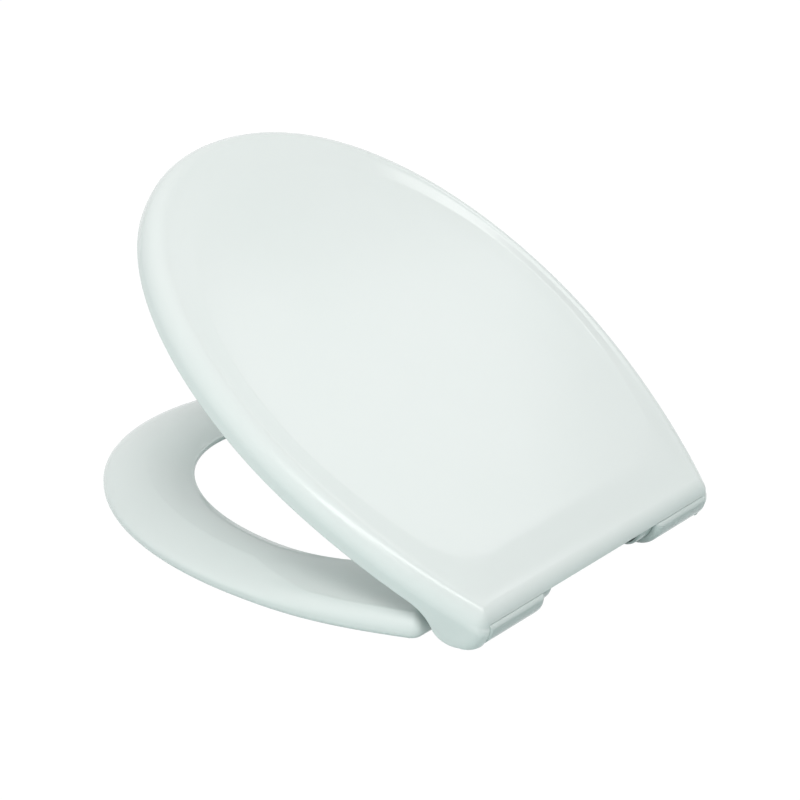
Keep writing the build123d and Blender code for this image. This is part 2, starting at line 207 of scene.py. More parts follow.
def atInset(loops, insets, wanted):
    # loops drawn at a row of insets, read off column by column at the wanted inset
    place = np.interp(wanted, insets, np.arange(len(insets)))
    low = np.minimum(place.astype(int), len(insets) - 2)
    part = (place - low)[..., None]
    columns = np.arange(loops.shape[1])
    return loops[low, columns] * (1 - part) + loops[low + 1, columns] * part


def spans(*marks):
    # stations: pairs of (end, count) after a first start, spaced evenly within each pair
    start, rest = marks[0], marks[1:]
    pieces = [np.array([start])]
    for end, count in rest:
        pieces.append(np.linspace(start, end, count + 1)[1:])
        start = end
    return np.concatenate(pieces)


def addRows(strips, plan, height):
    # rows of points in plan get their heights and join the strips
    plan = np.asarray(plan)
    strips.append(np.concatenate([plan, np.broadcast_to(height, plan.shape[:2])[..., None]], -1))


def easeInOut(t):
    # climbs from 0 to 1 with level ends: t^2 (3 - 2 t)
    return t * t * (3 - 2 * t)


def softRamp(t, lead, tail):
    # climbs from 0 to 1 at a steady slope, eased in over a lead and out over a tail
    slope = 1 / (1 - lead / 2 - tail / 2)
    rising = slope * t ** 2 / (2 * lead)
    steady = slope * (t - lead / 2)
    easing = 1 - slope * (1 - t) ** 2 / (2 * tail)
    return np.where(t < lead, rising, np.where(t < 1 - tail, steady, easing))


def gridFaces(rows, columns, closeRows=False):
    # quads between neighbouring rows and round the closed columns, numbered row by row
    r0, c0 = np.meshgrid(np.arange(rows if closeRows else rows - 1), np.arange(columns), indexing="ij")
    r1, c1 = (r0 + 1) % rows, (c0 + 1) % columns
    corners = [r0 * columns + c0, r1 * columns + c0, r1 * columns + c1, r0 * columns + c1]
    return np.stack(corners, -1).reshape(-1, 4)


def poleFaces(pole, rowStart, columns, flip):
    # triangles that close a row of columns onto one point
    here = rowStart + np.arange(columns)
    there = rowStart + (np.arange(columns) + 1) % columns
    pair = (there, here) if flip else (here, there)
    return np.stack([np.full(columns, pole), *pair], -1)


def buildPiece(name, shells, material, body, sharpAngle=40):
    # shells are (points in mm, list of face arrays); they become one mesh with creases where it turns sharply
    points, faces, first = [], [], 0
    for shellPoints, shellFaces in shells:
        points.append(shellPoints)
        faces += [row for group in shellFaces for row in (group + first).tolist()]
        first += len(shellPoints)
    mesh = bpy.data.meshes.new(name)
    mesh.from_pydata((np.vstack(points) * mm).tolist(), [], faces)
    mesh.validate()
    mesh.shade_smooth()
    mesh.set_sharp_from_angle(angle=np.radians(sharpAngle))
    mesh.materials.append(material)
    piece = bpy.data.objects.new(name, mesh)
    bpy.context.scene.collection.objects.link(piece)
    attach(piece, body)
    return piece


# parts that the materials share

def noiseAt(tree, place, size, detail):
    # cloudy values from 0 to 1 with blotches of a size in millimetres
    settings = {"Scale": perMetre(size), "Detail": detail}
    return addNode(tree, "ShaderNodeTexNoise", settings, {"Vector": place}).outputs["Fac"]


def mixedTone(tree, look, share):
    # runs from the colour to the shade as the share goes from 0 to 1; a mix node's colour sockets go by number
    tone = addNode(tree, "ShaderNodeMix", {"data_type": "RGBA"})
    tone.inputs[6].default_value = hexToLinear(look["colour"])
    tone.inputs[7].default_value = hexToLinear(look["shade"])
    tree.links.new(share, tone.inputs[0])
    return tone.outputs[2]


def unevenGloss(tree, look, share):
    # the middle of a noise's range, spread from the polished to the dull roughness
    settings = {"From Min": 0.3, "From Max": 0.7, "To Min": look["roughness"], "To Max": look["dull"]}
    return addNode(tree, "ShaderNodeMapRange", settings, {"Value": share}).outputs["Result"]


def relief(tree, height, depth):
    # shading that tips as if the surface rose and fell by a depth in millimetres
    settings = {"Strength": 1.0, "Distance": depth * mm}
    return addNode(tree, "ShaderNodeBump", settings, {"Height": height}).outputs["Normal"]


def closeMaterial(tree, settings, links):
    shader = addNode(tree, "ShaderNodeBsdfPrincipled", settings, links)
    addNode(tree, "ShaderNodeOutputMaterial", links={"Surface": shader.outputs["BSDF"]})


# moulded plastic of the lid, the ring and the hinge
seatPlasticLook = {
    "colour": "#E4ECEA", "shade": "#E0EAE7", "cloud": 140.0,
    "roughness": 0.12, "dull": 0.17, "polish": 35.0,
    "ior": 1.5, "peel": 3.0, "peelDepth": 0.012,
}
# the hinge's plastic is greyer than the seat's, and part of that darkness is painted shade: its colour is set low
# to stand in for the shade on the hinge blocks under the lid's back edge
hingePlasticShadedLook = {
    "colour": "#C9D4D2", "shade": "#C3D0CD", "cloud": 40.0,
    "roughness": 0.2, "dull": 0.28, "polish": 12.0,
    "ior": 1.5, "peel": 2.0, "peelDepth": 0.015,
}


def mouldedPlastic(name, look):
    # urea-like plastic pressed in a polished mould: a deep gloss, a slight unevenness of polish
    # and a very shallow orange peel that makes reflections waver; the peel is drawn coarse enough to show
    material, tree = newMaterial(name)
    place = addNode(tree, "ShaderNodeTexCoord").outputs["Object"]
    cloud = noiseAt(tree, place, look["cloud"], 2.0)
    polish = noiseAt(tree, place, look["polish"], 3.0)
    peel = noiseAt(tree, place, look["peel"], 1.0)
    closeMaterial(tree, {"IOR": look["ior"]}, {
        "Base Color": mixedTone(tree, look, cloud),
        "Roughness": unevenGloss(tree, look, polish),
        "Normal": relief(tree, peel, look["peelDepth"]),
    })
    return material


# soft buffer rubber
bufferRubberLook = {
    "colour": "#D3D6D4", "shade": "#C6CAC8", "cloud": 6.0,
    "roughness": 0.55, "ior": 1.52, "grain": 0.7, "grainDepth": 0.03,
}


def bufferRubber(name, look):
    # moulded elastomer from a sanded mould: matt, a little uneven in tone, with a fine grain
    material, tree = newMaterial(name)
    place = addNode(tree, "ShaderNodeTexCoord").outputs["Object"]
    cloud = noiseAt(tree, place, look["cloud"], 3.0)
    grain = noiseAt(tree, place, look["grain"], 2.0)
    closeMaterial(tree, {"Roughness": look["roughness"], "IOR": look["ior"]}, {
        "Base Color": mixedTone(tree, look, cloud),
        "Normal": relief(tree, grain, look["grainDepth"]),
    })
    return material


# turned acetal of the bushes and sleeves
acetalLook = {
    "colour": "#E6E4DC", "shade": "#DCD9CF", "groove": 0.4, "grooveDepth": 0.02,
    "waver": 0.4, "roughness": 0.38, "ior": 1.48,
}
waveFactor = 20  # the wave node's own count of bands for a scale of 1


def turnedAcetal(name, look):
    # natural acetal cut on a lathe: waxy, off-white, with fine rings of the tool along its axis
    material, tree = newMaterial(name)
    place = addNode(tree, "ShaderNodeTexCoord").outputs["Object"]
    rings = addNode(tree, "ShaderNodeTexWave", {
        "wave_type": "BANDS", "bands_direction": "X",
        "Scale": perMetre(look["groove"]) / waveFactor, "Distortion": look["waver"],
    }, {"Vector": place}).outputs["Fac"]
    closeMaterial(tree, {"Roughness": look["roughness"], "IOR": look["ior"]}, {
        "Base Color": mixedTone(tree, look, rings),
        "Normal": relief(tree, rings, look["grooveDepth"]),
    })
    return material


# ground stainless steel of the pins and screws
steelLook = {
    "colour": "#B9BABC", "shade": "#A3A4A7", "grit": 0.3, "stretch": 0.04, "roughness": 0.24, "dull": 0.38,
}


def groundSteel(name, look):
    # centreless-ground stainless: bright, with fine scratches running round the pin
    material, tree = newMaterial(name)
    place = addNode(tree, "ShaderNodeTexCoord").outputs["Object"]
    stretch = (1.0, look["stretch"], look["stretch"])
    squeeze = addNode(tree, "ShaderNodeMapping", {"Scale": stretch}, {"Vector": place})
    grit = noiseAt(tree, squeeze.outputs["Vector"], look["grit"], 2.0)
    closeMaterial(tree, {"Metallic": 1.0}, {
        "Base Color": mixedTone(tree, look, grit),
        "Roughness": unevenGloss(tree, look, grit),
    })
    return material


seatPlastic = mouldedPlastic("moulded_seat_plastic", seatPlasticLook)
hingePlasticShaded = mouldedPlastic("moulded_hinge_plastic_painted_shade", hingePlasticShadedLook)
rubber = bufferRubber("buffer_rubber", bufferRubberLook)
acetal = turnedAcetal("turned_acetal", acetalLook)
steel = groundSteel("ground_stainless", steelLook)
finishOfSlot = {
    "lid_plastic": seatPlastic, "ring_plastic": seatPlastic, "hinge_plastic": hingePlasticShaded,
    "buffer_rubber": rubber, "bush_plastic": acetal, "pin_steel": steel,
}
for subpart in frame["record"]["subparts"]:
    cadNode = frame["nodes"][subpart["node"]]
    cadNode.data.materials.clear()
    cadNode.data.materials.append(finishOfSlot[subpart["material_slot"]])
print("materials made:", len(finishOfSlot))

# lid: a thin shell with a raised panel, a rolled edge, ears at the back corners and a window for the hinge
lidLook = {
    "openAngle": 32.5, "rise": 18.2, "crown": 2.0, "wall": 4.0, "edgeRound": 14.5, "skirtDrop": 4.0,
    "earRadius": 17.8, "earSetBack": 3.9, "earLift": -0.5, "earSweep": 33.0,
    "earBulge": 3.0, "bulgeMiddle": -3.0, "bulgeReach": 12.0, "bulgeStart": 6.0,
    "windowEdge": 9.9, "windowHalf": 132.6, "windowRound": 3.0, "windowSlit": 0.02,
    "lipRound": 0.9, "bossRadius": 7.5, "bossFoot": 2.0, "screwBossRadius": 5.0, "screwBossHeight": 6.5,
    "screwLine": 15.5, "screwInset": 12.5, "bufferSink": 1.2, "middle": 190.0,
    "borderLead": 0.18, "borderTail": 0.2,
    "outline": {
        "halfWidth": 188.0, "front": 425.3, "widest": 177.0, "back": 19.6, "backHalf": 140.3, "nose": 0.618,
        "flank": 0.57, "tail": 0.302, "slant": 0.492, "corner": 12.0, "leastCorner": 1.5, "segments": 4,
    },
    "panel": {
        "halfWidth": 161.0, "front": 373.3, "widest": 177.0, "back": -28.4, "backHalf": 122.3, "nose": 0.618,
        "flank": 0.57, "tail": 0.302, "slant": 0.492, "corner": 55.0, "leastCorner": 1.5, "segments": 4,
    },
    "spans": [(1.0, 64), (1.62, 30), (2.0, 46), (3.0, 20)], "windowColumns": 9, "backColumns": 26,
    "rows": {"panel": 8, "border": 18, "edge": 44, "lip": 4, "inside": 26, "roof": 8},
}


def lidToWorld(points):
    # the lid's own plane is tipped back about the hinge line by the open angle
    tilt = np.radians(lidLook["openAngle"])
    x, y, z = points[..., 0], points[..., 1], points[..., 2]
    back = hinge[1] + y * np.cos(tilt) + z * np.sin(tilt)
    up = hinge[2] - y * np.sin(tilt) + z * np.cos(tilt)
    return np.stack([x, back, up], -1)


def worldToLid(point):
    # the way back to the lid's own plane
    tilt = np.radians(lidLook["openAngle"])
    y, z = point[1] - hinge[1], point[2] - hinge[2]
    return np.array([point[0], y * np.cos(tilt) - z * np.sin(tilt), y * np.sin(tilt) + z * np.cos(tilt)])


def lidBottom(look, x, y):
    # height of the lower edge: the skirt, an arc that sweeps down from it, the round ear, and the
    # window's edge across the back, with a small arc at each of its top corners
    skirt, radius, sweep = -look["skirtDrop"], look["earRadius"], look["earSweep"]
    earY, earZ = look["earSetBack"], look["earLift"]
    sweepZ = skirt - sweep
    sweepY = earY - np.sqrt((radius + sweep) ** 2 - (sweepZ - earZ) ** 2)
    meet = earY + (sweepY - earY) * radius / (radius + sweep)
    onSweep = sweepZ + np.sqrt(np.maximum(sweep ** 2 - (y - sweepY) ** 2, 0))
    onEar = earZ - np.sqrt(np.maximum(radius ** 2 - (y - earY) ** 2, 0))
    bottom = np.where(y < sweepY, skirt, np.where(y < meet, onSweep, onEar))
    rounding = look["windowRound"]
    past = np.maximum(np.abs(x) - look["windowHalf"] + rounding, 0)
    window = look["windowEdge"] - rounding + np.sqrt(np.maximum(rounding ** 2 - past ** 2, 0))
    return np.where((np.abs(x) <= look["windowHalf"]) & (y > 0), window, bottom)


def bulgeEars(look, points):
    # the ears swell backwards: half an ellipse over the height, eased in from a little ahead of the back edge
    x, y, z = points[:, 0], points[:, 1], points[:, 2]
    rise = np.clip((y - look["bulgeStart"]) / (look["outline"]["back"] - look["bulgeStart"]), 0, 1)
    height = np.clip((z - look["bulgeMiddle"]) / look["bulgeReach"], -1, 1)
    swell = look["earBulge"] * easeInOut(rise) * np.sqrt(1 - height ** 2)
    points[:, 1] += np.where(np.abs(x) > look["windowHalf"], swell, 0)
    return points


def turnedBoss(place, radius, foot, top, bottom, columns=40, edge=0.6, core=0.5):
    # a round post: straight side, a flared root under the roof, and a flat end with its edge taken off
    a = np.linspace(0, quarter, 6)
    profile = np.vstack([
        np.stack([radius + foot * (1 - np.sin(a)), top - foot * (1 - np.cos(a))], -1),
        [[radius, bottom + edge], [radius - edge / 3, bottom + edge / 3], [radius - edge, bottom], [core, bottom]],
    ])
    turn = np.linspace(0, 4 * quarter, columns, endpoint=False)
    ring = np.stack([np.cos(turn), np.sin(turn)], -1)
    heights = np.repeat(profile[:, None, 1:], columns, 1)
    grid = np.concatenate([place[:2] + profile[:, None, :1] * ring, heights], -1)
    points = np.vstack([grid.reshape(-1, 3), [[place[0], place[1], top], [place[0], place[1], bottom]]])
    faces = [
        gridFaces(len(profile), columns),
        poleFaces(len(points) - 2, 0, columns, False),
        poleFaces(len(points) - 1, (len(profile) - 1) * columns, columns, True),
    ]
    return points, faces


def makeLid(look):
    shape, rows = look["outline"], look["rows"]
    roll, wall, lip = look["edgeRound"], look["wall"], look["lipRound"]
    rollZ = look["rise"] - roll
    # columns crowd at the ears and stand in pairs where the window begins
    backEnd = halfOutline(shape, 0.0, np.array([3.0]))[0, 0]
    a = np.linspace(quarter, 0, look["windowColumns"])
    windowX = look["windowHalf"] - look["windowRound"] * (1 - np.sin(a))
    windowX = np.concatenate([[look["windowHalf"] + look["windowSlit"]], windowX])
    windowStations = shape["segments"] - windowX / backEnd
    stations = np.concatenate([
        spans(0.0, *look["spans"])[:-1],
        windowStations,
        np.linspace(windowStations[-1], shape["segments"], look["backColumns"])[1:],
    ])
    insets = np.arange(0, roll + insetStep, insetStep)
    loops = np.stack([mirrorLoop(halfOutline(shape, inset, stations)) for inset in insets])
    edge = loops[0]
    columns = len(edge)
    bottom = lidBottom(look, edge[:, 0], edge[:, 1])
    panel = mirrorLoop(halfOutline(look["panel"], 0.0, stations))
    middle = np.array([0.0, -look["middle"]])
    strips = []
    top = look["rise"] + look["crown"]
    share = np.linspace(0, 1, rows["panel"] + 1)[1:, None, None]
    addRows(strips, middle + (panel - middle) * share, top)
    share = np.linspace(0, 1, rows["border"] + 1)[1:-1, None]
    fall = look["crown"] * softRamp(share, look["borderLead"], look["borderTail"])
    addRows(strips, panel + (loops[-1] - panel) * share[..., None], top - fall)
    # rolled edge and wall, even along the path from the roll's start to the lower lip
    endAngle = np.arcsin(np.clip((bottom + lip - rollZ) / roll, 0, 1))
    arcLength = roll * (quarter - endAngle)
    path = arcLength + np.maximum(rollZ - bottom - lip, 0)
    run = np.linspace(0, 1, rows["edge"] + 1)[:, None] * path
    angle = quarter - np.minimum(run, arcLength) / roll
    height = rollZ + roll * np.sin(angle) - np.maximum(run - arcLength, 0)
    addRows(strips, atInset(loops, insets, roll * (1 - np.cos(angle))), height)
    # rounded lower lip, from the outer wall across to the inner one
    inner = roll - wall
    outerInset = roll * (1 - np.cos(endAngle))
    innerEnd = np.arcsin(np.clip((bottom + lip - rollZ) / inner, 0, 1))
    innerInset = roll - inner * np.cos(innerEnd)
    turn = np.linspace(0, quarter, rows["lip"] + 1)[1:, None]
    height = bottom + lip * (1 - np.sin(turn))
    addRows(strips, atInset(loops, insets, outerInset + lip * (1 - np.cos(turn))), height)
    turn = turn[:-1] - turn[0]
    height = bottom + lip * (1 - np.cos(turn))
    addRows(strips, atInset(loops, insets, innerInset - lip * (1 - np.sin(turn))), height)
    # inside: wall, inner roll and the roof
    arcLength = inner * (quarter - innerEnd)
    path = arcLength + np.maximum(rollZ - bottom - lip, 0)
    run = np.linspace(1, 0, rows["inside"] + 1)[:, None] * path
    angle = quarter - np.minimum(run, arcLength) / inner
    height = rollZ + inner * np.sin(angle) - np.maximum(run - arcLength, 0)
    addRows(strips, atInset(loops, insets, roll - inner * np.cos(angle)), height)
    share = np.linspace(1, 0, rows["roof"] + 1)[1:-1, None, None]
    roof = look["rise"] - wall
    addRows(strips, middle + (loops[-1] - middle) * share, roof)
    grid = np.concatenate(strips)
    count = len(grid)
    points = bulgeEars(look, np.vstack([grid.reshape(-1, 3), [[*middle, top]], [[*middle, roof]]]))
    faces = [
        gridFaces(count, columns),
        poleFaces(count * columns, 0, columns, False),
        poleFaces(count * columns + 1, (count - 1) * columns, columns, True),
    ]
    shells = [(lidToWorld(points), faces)]
    # bosses that carry the buffers and take the housing screws
    for end in ("front", "rear"):
        for side in ("left", "right"):
            low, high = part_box(f"lid_buffer_{end}_{side}")
            place = worldToLid(np.array((low + high) / 2) / mm)
            postEnd = place[2] + look["bufferSink"]
            post, postFaces = turnedBoss(place, look["bossRadius"], look["bossFoot"], roof, postEnd)
            shells.append((lidToWorld(post), postFaces))
    for side in ("left", "right"):
        low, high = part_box(f"friction_sleeve_{side}")
        for x in (low.x / mm + look["screwInset"], high.x / mm - look["screwInset"]):
            place = np.array([x, -look["screwLine"], 0])
            postEnd = roof - look["screwBossHeight"]
            post, postFaces = turnedBoss(place, look["screwBossRadius"], 0.0, roof, postEnd, columns=24)
            shells.append((lidToWorld(post), postFaces))
    lid = buildPiece("lid_shell", shells, seatPlastic, "lid")
    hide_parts("lid_cover")
    return lid


lid = makeLid(lidLook)
print("lid made:", len(lid.data.polygons), "faces")

# hinge blocks: a smooth skin over the back of each stepped barrel, reaching to the ear
skinLook = {
    "proud": 0.12, "depth": 1.5, "lowest": -80.0, "highest": 30.0, "columns": 66,
    "swell": 0.9, "swellFrom": -15.0, "swellTo": 12.0, "top": 10.6, "topBlend": 0.8,
    "barrelRadius": 22.8, "barrelOffset": 15.4, "innerRound": 5.0, "collarStep": 5.5, "collarRound": 2.0,
    "end": 132.3, "endRound": 1.2,
}


def makeSkin(look, side):
    # a stepped profile of length and radius, swept about the hinge line; the barrel swells a little towards
    # its top, where a soft least of its radius and of the reach to a level top rounds the edge over
    low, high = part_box(f"hinge_housing_{side}")
    sign = np.sign(low.x)
    start = min(abs(low.x), abs(high.x)) / mm
    radius, collar = look["barrelRadius"], look["barrelRadius"] - look["collarStep"]
    shoulder = start + look["barrelOffset"]
    a = np.linspace(0, quarter, 9)
    opening, closing = 1 - np.cos(a), 1 - np.sin(a)
    profile = np.vstack([
        np.stack([start + look["collarRound"] * opening, collar - look["collarRound"] * closing], -1),
        [[shoulder, collar]],
        np.stack([shoulder + look["innerRound"] * opening, radius - look["innerRound"] * closing], -1),
        np.stack([look["end"] - look["endRound"] * closing, radius - look["endRound"] * opening], -1),
    ])
    x, reach = profile[:, :1], profile[:, 1:] + look["proud"]
    turn = np.radians(np.linspace(look["lowest"], look["highest"], look["columns"] + 1))
    grown = np.clip((np.degrees(turn) - look["swellFrom"]) / (look["swellTo"] - look["swellFrom"]), 0, 1)
    onBarrel = np.clip((reach - collar) / look["collarStep"], 0, 1)
    reach = reach + look["swell"] * onBarrel * easeInOut(grown)
    level = look["top"] / np.maximum(np.sin(turn), 0.1)  # far out where the ray hardly climbs
    reach = reach - look["topBlend"] * np.log1p(np.exp((reach - level) / look["topBlend"]))
    flat = np.broadcast_to(x, reach.shape)
    outer = np.stack([flat, reach * np.cos(turn), reach * np.sin(turn)], -1)
    sunk = reach - look["depth"]
    inner = np.stack([flat, sunk * np.cos(turn), sunk * np.sin(turn)], -1)
    grid = np.concatenate([outer, inner[:, ::-1]], 1) * (sign, 1, 1)
    rows, columns = grid.shape[:2]
    k = np.arange(look["columns"])
    cap = np.stack([k, k + 1, columns - 2 - k, columns - 1 - k], -1)
    faces = [gridFaces(rows, columns)[:, ::-1], cap[:, ::-1], cap + (rows - 1) * columns]
    if sign < 0:
        faces = [group[:, ::-1] for group in faces]
    shells = [(lidToWorld(grid.reshape(-1, 3)), faces)]
    return buildPiece(f"housing_skin_{side}", shells, hingePlasticShaded, "lid")


for side in ("left", "right"):
    makeSkin(skinLook, side)
print("hinge blocks skinned")

# seat ring: dished towards its opening, rounded outside, hollowed and ribbed below, lugs on the hinge line
ringLook = {
    "bottom": 5.6, "crest": 23.7, "innerEdge": 14.1, "shoulder": 11.7, "base": 4.6, "innerRound": 1.5,
    "notchShoulder": 3.0, "notchBase": 2.0, "lipBottom": 10.6, "lipRound": 0.8, "wall": 8.0,
    "channelWall": 14.0, "channelLip": 10.0, "channelTop": 13.0, "rootSink": 0.4,
    "ribCount": 14, "ribThickness": 3.0, "ribEdge": 0.4, "ribLift": 0.2, "ribStart": 8.0, "ribEnd": 12.0,
    "ribSearch": 0.04, "padRadius": 18.0, "padFoot": 0.8,
    "lugRadius": 13.0, "lugBore": 7.0, "lugRootDrop": 6.0, "lugRound": 1.0,
    "dishPower": 2.6, "underRound": 1.8, "guideInset": 12.0, "notchEase": 1.2,
    "outline": {
        "halfWidth": 187.7, "front": 420.7, "widest": 176.2, "back": -25.5, "backHalf": 154.4, "nose": 0.57,
        "flank": 0.568, "tail": 0.389, "slant": 0.428, "corner": 10.0, "leastCorner": 0.6, "segments": 8,
        "notchHalf": 56.0, "notchReach": 40.0, "notchRound": 6.0, "notchEdge": 4.0,
    },
    "hole": {"centre": 189.5, "halfWidth": 115.4, "front": 160.5, "rear": 121.4, "fullness": 0.548},
    # by station along the outline
    "crestInset": {
        0.0: 34.0, 0.7: 34.0, 1.0: 32.0, 1.2: 22.0, 1.45: 11.0, 1.7: 9.5, 2.0: 9.0, 3.0: 7.0, 4.0: 3.0, 8.0: 3.0,
    },
    "ridgeAngle": {0.0: 82.0, 0.4: 80.0, 1.0: 62.0, 8.0: 58.0},
    "ridgeFall": {0.0: 0.1, 0.4: 0.12, 1.0: 0.35, 2.0: 0.45, 3.0: 0.2, 4.0: 0.0, 8.0: 0.0},
    "rearHeading": {4.0: 31.5, 5.0: 30.7, 6.0: 30.0, 7.0: 25.5, 8.0: 0.0},
    "spans": [(1.0, 64), (1.7, 34), (2.0, 20), (3.0, 14), (4.0, 24), (5.0, 8), (6.0, 5), (7.0, 8), (8.0, 16)],
    "rows": {"wall": 3, "inner": 5, "dish": 34, "shoulder": 26, "side": 4, "base": 8, "under": 4},
}


def ovalAt(look, halfWidth, front, rear, heading):
    # egg-shaped loop of two quarter curves, read off at headings measured from the front round to the rear
    k = look["fullness"]
    t = np.linspace(0, 1, 400)
    ahead = bezier([(0, -front), (k * halfWidth, -front), (halfWidth, -k * front), (halfWidth, 0)], t)
    behind = bezier([(halfWidth, 0), (halfWidth, k * rear), (k * halfWidth, rear), (0, rear)], t)
    dense = np.vstack([ahead, behind[1:]])
    angle = np.arctan2(dense[:, 0], -dense[:, 1])
    half = np.stack([np.interp(heading, angle, dense[:, 0]), np.interp(heading, angle, dense[:, 1])], -1)
    return mirrorLoop(half - (0, look["centre"]))


def holeAt(hole, growth, heading):
    # the opening's loop, grown outwards by a length
    return ovalAt(hole, *(hole[k] + growth for k in ("halfWidth", "front", "rear")), heading)


def lugShell(look, start, end, columns=120):
    # an eye about the hinge line with an arm to the ring, as the farthest reach in each direction;
    # rows run from one end's bore over the rounded rim and back through the bore
    root = look["outline"]["notchReach"] + look["base"]
    radius, rounding = look["lugRadius"], look["lugRound"]
    topRoot = look["crest"] - look["lugRootDrop"] - hinge[2]
    lowRoot = look["lipBottom"] - hinge[2]
    turn = np.linspace(0, 4 * quarter, columns, endpoint=False)
    ray = np.stack([np.cos(turn), np.sin(turn)], -1)
    corners = np.array([(0, radius), (-root, topRoot), (-root, lowRoot), (0, -radius)])
    sides = np.roll(corners, -1, 0) - corners
    outward = np.stack([sides[:, 1], -sides[:, 0]], -1)[:3]
    depth = (outward * corners[:3]).sum(1)
    facing = ray @ outward.T
    reach = np.where(facing > 1e-6, depth / np.maximum(facing, 1e-6), np.inf).min(1)
    arm = np.where(ray[:, 0] < 0, reach, 0)
    rim = np.maximum(arm, radius)
    a = np.linspace(0, quarter, 5)
    drop, along = rounding * (1 - np.sin(a)), rounding * (1 - np.cos(a))
    x = np.concatenate([[start], start + along, end - along[::-1], [end]])
    bore = np.full((1, columns), look["lugBore"])
    reachRows = np.vstack([bore, rim - drop[:, None], rim - drop[::-1, None], bore])
    grid = np.concatenate([np.broadcast_to(x[:, None, None], (len(x), columns, 1)),
                           hinge[1:] + reachRows[..., None] * ray], -1)
    return grid.reshape(-1, 3), [gridFaces(len(x), columns, closeRows=True)[:, ::-1]]


def ribShells(look, hole, wallLoop):
    # straight walls across the channel, pointing at the opening's centre and ending inside the outer wall
    wall = wallLoop + (0, hole["centre"])
    wallHeading = np.abs(np.arctan2(wall[:, 0], -wall[:, 1]))
    step = 4 * quarter / look["ribCount"]
    turn = step / 2 + step * np.arange(look["ribCount"])
    out = np.stack([np.cos(turn), np.sin(turn)], -1)
    heading = np.abs(np.arctan2(out[:, 0], -out[:, 1]))
    half, edge = look["ribThickness"] / 2, look["ribEdge"]
    low, high = look["lipBottom"] + look["ribLift"], look["channelTop"] + look["rootSink"]
    section = np.array([(-half, high), (-half, low + edge), (-half + edge, low),
                        (half - edge, low), (half, low + edge), (half, high)])
    count = len(section)
    faces = [
        gridFaces(2, count)[:, ::-1],
        np.arange(count)[None, ::-1],
        np.arange(count, 2 * count)[None],
    ]
    shells = []
    for direction, angle in zip(out, heading):
        start = holeAt(hole, look["ribStart"], np.array([angle, angle]))[0] + (0, hole["centre"])
        near = np.linalg.norm(start)
        far = np.linalg.norm(wall[np.abs(wallHeading - angle) < look["ribSearch"]], axis=1).min()
        across = section[:, :1] * (-direction[1], direction[0])
        plan = np.stack([near * direction + across, far * direction + across]) + (0, hinge[1] - hole["centre"])
        grid = np.concatenate([plan, np.broadcast_to(section[:, 1:], (2, count, 1))], -1)
        shells.append((grid.reshape(-1, 3), faces))
    return shells


